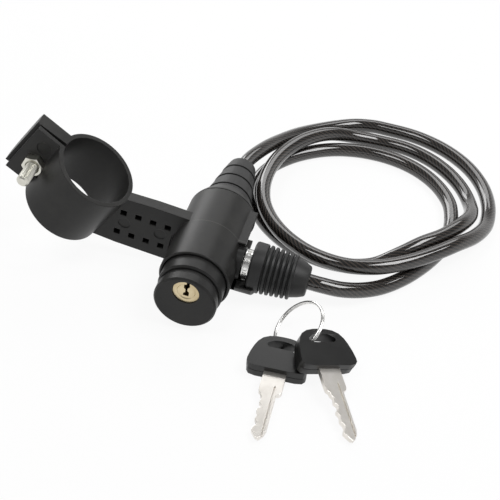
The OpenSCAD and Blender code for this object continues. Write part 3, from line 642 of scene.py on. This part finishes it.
# along the bolt, heights are in mm from the top of its head
boltShape = {
    "shank": 5,
    "core": 4.1,
    "pitch": 0.8,
    "crest": (0.4, 0.6),  # where it begins and ends in a pitch
    "spareTurns": 6,
    "turnsInHead": 2.8,
    "rootInHead": 0.4,
    "samePoint": 0.004,
    "tipChamfer": 0.8,
    "tipRadius": 2.55,
    "tipCone": (-5, 8),  # height and radius where the cone that trims the tip begins
    "headWide": 9,
    "headThick": 3,
    "crown": ((0, -0.9), (0.15, -0.45), (0.6, 0)),  # steps along and out
    "foot": ((-0.2, 0), (0, -0.2)),
    "cross": {"wide": 1.1, "half": 2.7, "from": -1, "to": 1.5},
    "threadSides": 32,
    "sides": 48,
    "smooth": 35,
}
nutShape = {
    "acrossFlats": 8,
    "chamfer": (0.45, 0.75),  # how long and how deep it is
    "bore": 2.6,
    "mouth": (0.35, 3.05),  # depth and radius of the bore's flare
    "over": (0.01, 0.02, 0.05),  # how far the cutters reach past the ends, the flats and the mouth
    "past": 1,
    "sides": 48,
    "smooth": 25,
}


def fromNode(name):
    # Z runs to the front from the middle of a CAD piece's back; and how long the piece is
    low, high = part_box(name)
    back = ((low.x + high.x) / 2, high.y, (low.z + high.z) / 2)
    return Matrix.Translation(back) @ spun(90, "X"), (high.y - low.y) / mm


boltFrame, boltLong = fromNode("clamp_bolt")
nutFrame, nutLong = fromNode("clamp_nut")

# a ridge is screwed along the shank
half, core, pitch = boltShape["shank"] / 2, boltShape["core"] / 2, boltShape["pitch"]
crestFrom, crestTo = boltShape["crest"]
headThick = boltShape["headThick"]
ridge = ((core, 0), (half, pitch * crestFrom), (half, pitch * crestTo), (core, pitch))
deselect()
bpy.ops.mesh.primitive_circle_add(vertices=len(ridge), radius=mm)
bolt = bpy.context.object
bolt.name = "bracketBolt"
for vertex, (r, z) in zip(bolt.data.vertices, ridge):
    vertex.co = (r * mm, 0, z * mm)
# the edge between its two ends goes
editing(bolt, "DESELECT")
bpy.ops.object.mode_set(mode="OBJECT")
for end in (0, -1):
    bolt.data.vertices[end].select = True
bpy.ops.object.mode_set(mode="EDIT")
bpy.ops.mesh.delete(type="EDGE")
bpy.ops.object.mode_set(mode="OBJECT")
shaped(
    bolt, "SCREW", angle=math.radians(360), screw_offset=pitch * mm,
    iterations=int((boltLong - headThick) / pitch) + boltShape["spareTurns"],
    steps=boltShape["threadSides"], render_steps=boltShape["threadSides"],
    use_merge_vertices=True, merge_threshold=samePoint * mm,
)
bolt.location.z = (headThick - boltShape["turnsInHead"] * pitch) * mm
settle(bolt)
editing(bolt)
bpy.ops.mesh.remove_doubles(threshold=boltShape["samePoint"] * mm)
for level, below in ((boltLong, False), (headThick - boltShape["rootInHead"], True)):
    bpy.ops.mesh.select_all(action="SELECT")
    levelCut((0, 0, level * mm), clear_inner=below, clear_outer=not below)
bpy.ops.object.mode_set(mode="OBJECT")
tidied(bolt)
tipRadius, tipChamfer = boltShape["tipRadius"], boltShape["tipChamfer"]
carve(bolt, turned("tipShape", (
    boltShape["tipCone"], (boltLong - tipChamfer, tipRadius), (boltLong, tipRadius - tipChamfer),
), boltShape["sides"]), how="INTERSECT")

headR = boltShape["headWide"] / 2
boltHead = turned("boltHead", (
    stepped(0, headR, boltShape["crown"]) + stepped(headThick, headR, boltShape["foot"])
), boltShape["sides"])
cross = boltShape["cross"]
long, wide = cross["half"], cross["wide"] / 2
barOutline = ((-long, -wide), (long, -wide), (long, wide), (-long, wide))
for turn in (0, 90):
    bar = plate("crossCutter", barOutline, cross["from"], cross["to"])
    bar.rotation_euler.z = math.radians(turn)
    carve(boltHead, settle(bar))
pick(bolt)
boltHead.select_set(True)
bpy.ops.object.join()
put(bolt, boltFrame, boltShape["smooth"])

flats = nutShape["acrossFlats"] / 2 / math.cos(math.radians(30))
past, bore = nutShape["past"], nutShape["bore"]
overEnd, overFlat, overMouth = nutShape["over"]
chamferLong, chamferDeep = nutShape["chamfer"]
mouthDeep, mouthRadius = nutShape["mouth"]
nut = plate("bracketNut", [
    (flats * math.cos(math.radians(60 * k)), flats * math.sin(math.radians(60 * k))) for k in range(6)
], 0, nutLong)
carve(nut, turned("nutChamfer", (
    (-overEnd, flats - chamferDeep), (chamferLong, flats + overFlat),
    (nutLong - chamferLong, flats + overFlat), (nutLong + overEnd, flats - chamferDeep),
), nutShape["sides"]), how="INTERSECT")
carve(nut, turned("nutBore", (
    (-past, bore), (nutLong - mouthDeep, bore),
    (nutLong + overMouth, mouthRadius), (nutLong + past, mouthRadius),
), nutShape["sides"]))
put(nut, nutFrame, nutShape["smooth"])
for piece, node in ((bolt, "clamp_bolt"), (nut, "clamp_nut")):
    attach(piece, "bracket")
    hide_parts(node)
print("bolt and nut are cut")


def nodeTools(tree):
    # short calls that add a node and join two sockets
    def add(kind, **values):
        node = tree.nodes.new(kind)
        for key, value in values.items():
            if key in node.inputs:
                node.inputs[key].default_value = value
            else:
                setattr(node, key, value)
        return node

    def join(source, target):
        tree.links.new(source, target)

    return add, join


def finish(name):
    # a new material and its shader
    material = bpy.data.materials.new(name)
    material.use_nodes = True
    return material, material.node_tree.nodes["Principled BSDF"], *nodeTools(material.node_tree)


def blendColours(add, join, factor, first, second, between):
    ramp = add("ShaderNodeValToRGB")
    for stop, colour, position in zip(ramp.color_ramp.elements, (first, second), between):
        stop.color = (*colour, 1)
        stop.position = position
    join(factor, ramp.inputs["Fac"])
    return ramp


moulding = {"cloud": 70, "colourRange": (0.3, 0.75), "roughRange": 0.07, "bump": 0.35}
plating = {"cloud": 160, "colourRange": (0.3, 0.7), "roughBelow": 0.06, "roughAbove": 0.1, "bump": 0.3}


def mouldedPlastic(name, dark, light, rough, grain, depth, gloss=0.3, edge=0, seam=None):
    # moulded nylon: a fine spark-eroded grain, and a faint cloudiness from handling
    material, shader, add, join = finish(name)
    where = add("ShaderNodeTexCoord")
    cloud = add("ShaderNodeTexNoise", Scale=moulding["cloud"], Detail=4, Roughness=0.6)
    fine = add("ShaderNodeTexNoise", Scale=1000 / grain, Detail=3, Roughness=0.7)
    join(where.outputs["Object"], cloud.inputs["Vector"])
    join(where.outputs["Object"], fine.inputs["Vector"])
    ramp = blendColours(add, join, cloud.outputs["Fac"], dark, light, moulding["colourRange"])
    join(ramp.outputs["Color"], shader.inputs["Base Color"])
    sheen = add("ShaderNodeMapRange")
    sheen.inputs["To Min"].default_value = rough - moulding["roughRange"]
    sheen.inputs["To Max"].default_value = rough + moulding["roughRange"]
    join(cloud.outputs["Fac"], sheen.inputs["Value"])
    join(sheen.outputs["Result"], shader.inputs["Roughness"])
    bump = add("ShaderNodeBump", Strength=moulding["bump"], Distance=depth * mm)
    join(fine.outputs["Fac"], bump.inputs["Height"])
    if seam:
        # a fine parting line across the sleeve: a groove in the bump, and a lighter colour along it that is
        # a painted highlight
        parts = add("ShaderNodeSeparateXYZ")
        join(where.outputs["Object"], parts.inputs["Vector"])
        near = add("ShaderNodeMath", operation="COMPARE")
        near.inputs[1].default_value = seam["y"] * mm
        near.inputs[2].default_value = seam["halfWidth"] * mm
        join(parts.outputs["Y"], near.inputs[0])
        onSleeve = add("ShaderNodeMath", operation="GREATER_THAN")
        onSleeve.inputs[1].default_value = seam["from"] * mm
        join(parts.outputs["X"], onSleeve.inputs[0])
        both = add("ShaderNodeMath", operation="MULTIPLY")
        join(near.outputs["Value"], both.inputs[0])
        join(onSleeve.outputs["Value"], both.inputs[1])
        drop = add("ShaderNodeMath", operation="SUBTRACT")
        join(fine.outputs["Fac"], drop.inputs[0])
        join(both.outputs["Value"], drop.inputs[1])
        join(drop.outputs["Value"], bump.inputs["Height"])
        ramped = add("ShaderNodeMix", data_type="RGBA", blend_type="MIX")
        join(both.outputs["Value"], ramped.inputs["Factor"])
        join(ramp.outputs["Color"], ramped.inputs["A"])
        ramped.inputs["B"].default_value = (*seam["paintedLight"], 1)
        join(ramped.outputs["Result"], shader.inputs["Base Color"])
    if edge:
        # edges look rounded by this much
        soft = add("ShaderNodeBevel", Radius=edge * mm)
        soft.samples = 6
        join(soft.outputs["Normal"], bump.inputs["Normal"])
    shader.inputs["Specular IOR Level"].default_value = gloss
    join(bump.outputs["Normal"], shader.inputs["Normal"])
    return material


def metal(name, dark, light, rough, marked, depth, stretch=(1, 1, 1)):
    # bare or plated metal: a slow change of tone, and fine marks drawn out by stretch
    material, shader, add, join = finish(name)
    where = add("ShaderNodeTexCoord")
    stretched = add("ShaderNodeMapping", Scale=stretch)
    cloud = add("ShaderNodeTexNoise", Scale=plating["cloud"], Detail=5, Roughness=0.6)
    marks = add("ShaderNodeTexNoise", Scale=1000 / marked, Detail=4, Roughness=0.6)
    join(where.outputs["Object"], stretched.inputs["Vector"])
    join(where.outputs["Object"], cloud.inputs["Vector"])
    join(stretched.outputs["Vector"], marks.inputs["Vector"])
    ramp = blendColours(add, join, cloud.outputs["Fac"], dark, light, plating["colourRange"])
    join(ramp.outputs["Color"], shader.inputs["Base Color"])
    shader.inputs["Metallic"].default_value = 1
    dull = add("ShaderNodeMapRange")
    dull.inputs["To Min"].default_value = rough - plating["roughBelow"]
    dull.inputs["To Max"].default_value = rough + plating["roughAbove"]
    join(marks.outputs["Fac"], dull.inputs["Value"])
    join(dull.outputs["Result"], shader.inputs["Roughness"])
    bump = add("ShaderNodeBump", Strength=plating["bump"], Distance=depth * mm)
    join(marks.outputs["Fac"], bump.inputs["Height"])
    join(bump.outputs["Normal"], shader.inputs["Normal"])
    return material


ropeLook = {
    "strands": 12,
    "lay": 30,  # mm along the cable for one turn of a strand
    # the gap colour is painted shade between the strands, the crest colour a painted highlight on them
    "gap": (0.003, 0.003, 0.003),
    "crest": (0.05, 0.039, 0.032),
    "paintedHighlightSharpness": 2.5,
    "colourRange": (0.2, 1),
    "cloud": 90,
    "cloudBase": 0.45,
    "bump": 0.25,
    "bumpDepth": 0.15,
    "shader": {
        "Metallic": 0.2, "Roughness": 0.6, "Specular IOR Level": 0.1,
        "Coat Weight": 1, "Coat Roughness": 0.07, "Coat IOR": 1.72,
    },
}


def coatedRope(name, length):
    # steel strands seen through a smoky, glossy coating; in the colour the strands' crests carry a painted
    # highlight and the gaps between them painted shade
    material, shader, add, join = finish(name)
    where = add("ShaderNodeUVMap")
    parts = add("ShaderNodeSeparateXYZ")
    join(where.outputs["UV"], parts.inputs["Vector"])

    def sums(kind, *terms):
        node = add("ShaderNodeMath", operation=kind)
        for socket, term in zip(node.inputs, terms):
            if isinstance(term, (int, float)):
                socket.default_value = term
            else:
                join(term, socket)
        return node.outputs["Value"]

    layTurns = sums("MULTIPLY", parts.outputs["X"], length / (ropeLook["lay"] * mm))
    lay = sums("SUBTRACT", parts.outputs["Y"], layTurns)
    strand = sums("MULTIPLY", lay, ropeLook["strands"])
    crown = sums("ABSOLUTE", sums("SINE", sums("MULTIPLY", strand, math.pi)))
    uneven = add("ShaderNodeTexNoise", Scale=ropeLook["cloud"], Detail=3)
    coords = add("ShaderNodeTexCoord")
    join(coords.outputs["Object"], uneven.inputs["Vector"])
    cloudy = sums("ADD", uneven.outputs["Fac"], ropeLook["cloudBase"])
    # lighter on the crests and darker in the gaps: painted highlight and painted shade, made uneven by the
    # noise
    paintedLight = sums("MULTIPLY", sums("POWER", crown, ropeLook["paintedHighlightSharpness"]), cloudy)
    ramp = blendColours(add, join, paintedLight, ropeLook["gap"], ropeLook["crest"], ropeLook["colourRange"])
    join(ramp.outputs["Color"], shader.inputs["Base Color"])
    bump = add("ShaderNodeBump", Strength=ropeLook["bump"], Distance=ropeLook["bumpDepth"] * mm)
    join(crown, bump.inputs["Height"])
    join(bump.outputs["Normal"], shader.inputs["Normal"])
    for socket, value in ropeLook["shader"].items():
        shader.inputs[socket].default_value = value
    return material


# grain, depth, edge and the seam's width are in mm
plastics = {
    "blackPlastic": {
        "dark": (0.017, 0.0168, 0.0168), "light": (0.031, 0.0305, 0.0292), "rough": 0.4,
        "grain": 0.5, "depth": 0.03, "gloss": 0.22,
    },
    "bracketPlastic": {
        "dark": (0.017, 0.0168, 0.0165), "light": (0.031, 0.0306, 0.0288), "rough": 0.4,
        "grain": 0.5, "depth": 0.03, "gloss": 0.24, "edge": 0.45,
        "seam": {
            "y": lock["y"] - 0.8, "halfWidth": 0.16, "from": lock["x"] - 14.6,
            # the parting line's lighter colour, a painted highlight
            "paintedLight": (0.05, 0.05, 0.047),
        },
    },
    "softRubber": {
        "dark": (0.019, 0.019, 0.0192), "light": (0.03, 0.0298, 0.0296), "rough": 0.44,
        "grain": 0.35, "depth": 0.02,
    },
    "headPlastic": {
        "dark": (0.005, 0.005, 0.005), "light": (0.011, 0.011, 0.0105), "rough": 0.32,
        "grain": 0.6, "depth": 0.02, "gloss": 0.4,
    },
}
metals = {
    "brass": {
        "dark": (0.52, 0.42, 0.25), "light": (0.70, 0.60, 0.40), "rough": 0.34,
        "marked": 0.3, "depth": 0.012,
    },
    "nickel": {
        "dark": (0.75, 0.715, 0.665), "light": (0.88, 0.85, 0.805), "rough": 0.3,
        "marked": 0.4, "depth": 0.012, "stretch": (1, 1, 6),
    },
    "polished": {
        "dark": (0.72, 0.715, 0.70), "light": (0.88, 0.875, 0.86), "rough": 0.22,
        "marked": 3, "depth": 0.0005,
    },
    "zinc": {
        "dark": (0.60, 0.59, 0.53), "light": (0.76, 0.75, 0.68), "rough": 0.3,
        "marked": 0.35, "depth": 0.015,
    },
    "castZinc": {
        "dark": (0.34, 0.34, 0.35), "light": (0.46, 0.46, 0.47), "rough": 0.45,
        "marked": 0.6, "depth": 0.04,
    },
}
wearing = {
    "blackPlastic": ("portSkirt", "lock_housing", "rear_cap"),
    "bracketPlastic": ("frame_bracket",),
    "softRubber": ("boot_a", "plugBoot"),
    "headPlastic": ("keyHead1", "keyHead2"),
    "brass": ("key_plug", "wafers"),
    "nickel": ("keyBlade1", "keyBlade2"),
    "polished": (
        "wafer_springs", "plug_retaining_pin", "anchor_pin", "plug_pin", "plugFerrule", "splitRing",
    ),
    "zinc": ("latch", "bracketBolt", "bracketNut"),
    "castZinc": ("cylinder_shell", "port_bush", "cable_anchor"),
}
finishes = {name: mouldedPlastic(name, **look) for name, look in plastics.items()}
finishes.update({name: metal(name, **look) for name, look in metals.items()})


def wear(piece, material):
    piece.data.materials.clear()
    piece.data.materials.append(material)


for name, pieces in wearing.items():
    for pieceName in pieces:
        wear(nodes.get(pieceName) or bpy.data.objects[pieceName], finishes[name])
for piece, line in ((cableLoops, loopsLine), (cableEnd, endLine)):
    wear(piece, coatedRope(piece.name + "Coat", lengthOf(line)))
print("finishes are on")

# the edges of the CAD pieces that show
softEdges = {
    "widths": {"lock_housing": 0.3, "rear_cap": 0.3, "boot_a": 0.25, "key_plug": 0.08},
    "samePoint": 0.005,
    "flatWithin": 0.5,  # degrees
    "edgeFrom": 35,
    "segments": 2,
}
for name, width in softEdges["widths"].items():
    obj = pick(nodes[name])
    bpy.ops.object.shade_smooth()
    weld = obj.modifiers.new("weld", "WELD")
    weld.merge_threshold = softEdges["samePoint"] * mm
    flat = obj.modifiers.new("flat", "DECIMATE")
    flat.decimate_type = "DISSOLVE"
    flat.angle_limit = math.radians(softEdges["flatWithin"])
    soft = obj.modifiers.new("soft", "BEVEL")
    soft.width = width * mm
    soft.segments = softEdges["segments"]
    soft.limit_method = "ANGLE"
    soft.angle_limit = math.radians(softEdges["edgeFrom"])
    soft.miter_outer = "MITER_ARC"
    even = obj.modifiers.new("even", "WEIGHTED_NORMAL")
    even.keep_sharp = False
print("edges are softened")

studio = {
    "floor": 3,  # m
    "floorGrey": 0.92,
    "floorRoughness": 0.9,
    "floorGlow": 0.92,
    "worldLight": 0.15,
    "ceiling": ((0.22, 1), (0.6, 0.2)),  # height of the sight line, and grey
    "aim": (0.02, 0.03, 0),
    "lamps": (
        # place, size in m, watts
        ((0.37, 0.02, 0.63), (0.36, 0.32), 2.8),
        ((-0.19, -0.13, 0.65), (0.26, 0.24), 1.1),
        ((-0.44, 0.6, 0.31), (0.4, 0.28), 1.7),
        ((-0.02, 0.55, 0.5), (0.56, 0.26), 1.3),
    ),
}


def seenDirectly(add, join):
    # one for what the camera, metal and glass see, else nothing
    rays = add("ShaderNodeLightPath")
    share = rays.outputs["Is Camera Ray"]
    for kind in ("Is Glossy Ray", "Is Transmission Ray"):
        either = add("ShaderNodeMath", operation="MAXIMUM")
        join(share, either.inputs[0])
        join(rays.outputs[kind], either.inputs[1])
        share = either.outputs["Value"]
    return share


deselect()
bpy.ops.mesh.primitive_plane_add(size=studio["floor"])
floor = bpy.context.object
floor.name = "floor"
floorCoat, shader, add, join = finish("floorCoat")
shader.inputs["Base Color"].default_value = (*[studio["floorGrey"]] * 3, 1)
shader.inputs["Roughness"].default_value = studio["floorRoughness"]
shader.inputs["Specular IOR Level"].default_value = 0
glow = add("ShaderNodeEmission", Strength=1)
share = add("ShaderNodeMath", operation="MULTIPLY")
share.inputs[1].default_value = studio["floorGlow"]
mix = add("ShaderNodeMixShader")
join(seenDirectly(add, join), share.inputs[0])
join(share.outputs["Value"], mix.inputs["Fac"])
join(shader.outputs["BSDF"], mix.inputs[1])
join(glow.outputs["Emission"], mix.inputs[2])
out = next(node for node in floorCoat.node_tree.nodes if node.type == "OUTPUT_MATERIAL")
join(mix.outputs["Shader"], out.inputs["Surface"])
floor.data.materials.append(floorCoat)

# the world lights the lock softly, and looks white all round below a dim ceiling
world = bpy.context.scene.world or bpy.data.worlds.new("studio")
bpy.context.scene.world = world
world.use_nodes = True
world.node_tree.nodes.clear()
add, join = nodeTools(world.node_tree)
light = add("ShaderNodeBackground", Color=(1, 1, 1, 1), Strength=studio["worldLight"])
white = add("ShaderNodeBackground", Strength=1)
direction = add("ShaderNodeTexCoord")
heights = add("ShaderNodeSeparateXYZ")
ceiling = add("ShaderNodeValToRGB")
for stop, (position, grey) in zip(ceiling.color_ramp.elements, studio["ceiling"]):
    stop.position = position
    stop.color = (grey, grey, grey, 1)
join(direction.outputs["Generated"], heights.inputs["Vector"])
join(heights.outputs["Z"], ceiling.inputs["Fac"])
join(ceiling.outputs["Color"], white.inputs["Color"])
either = add("ShaderNodeMixShader")
final = add("ShaderNodeOutputWorld")
join(seenDirectly(add, join), either.inputs["Fac"])
join(light.outputs["Background"], either.inputs[1])
join(white.outputs["Background"], either.inputs[2])
join(either.outputs["Shader"], final.inputs["Surface"])
for place, size, watts in studio["lamps"]:
    deselect()
    aim = (Vector(studio["aim"]) - Vector(place)).to_track_quat("-Z", "Y")
    bpy.ops.object.light_add(type="AREA", location=place, rotation=aim.to_euler())
    lamp = bpy.context.object.data
    lamp.shape = "RECTANGLE"
    lamp.size, lamp.size_y = size
    lamp.energy = watts
bpy.context.scene.view_settings.view_transform = "Standard"
print("studio is lit")
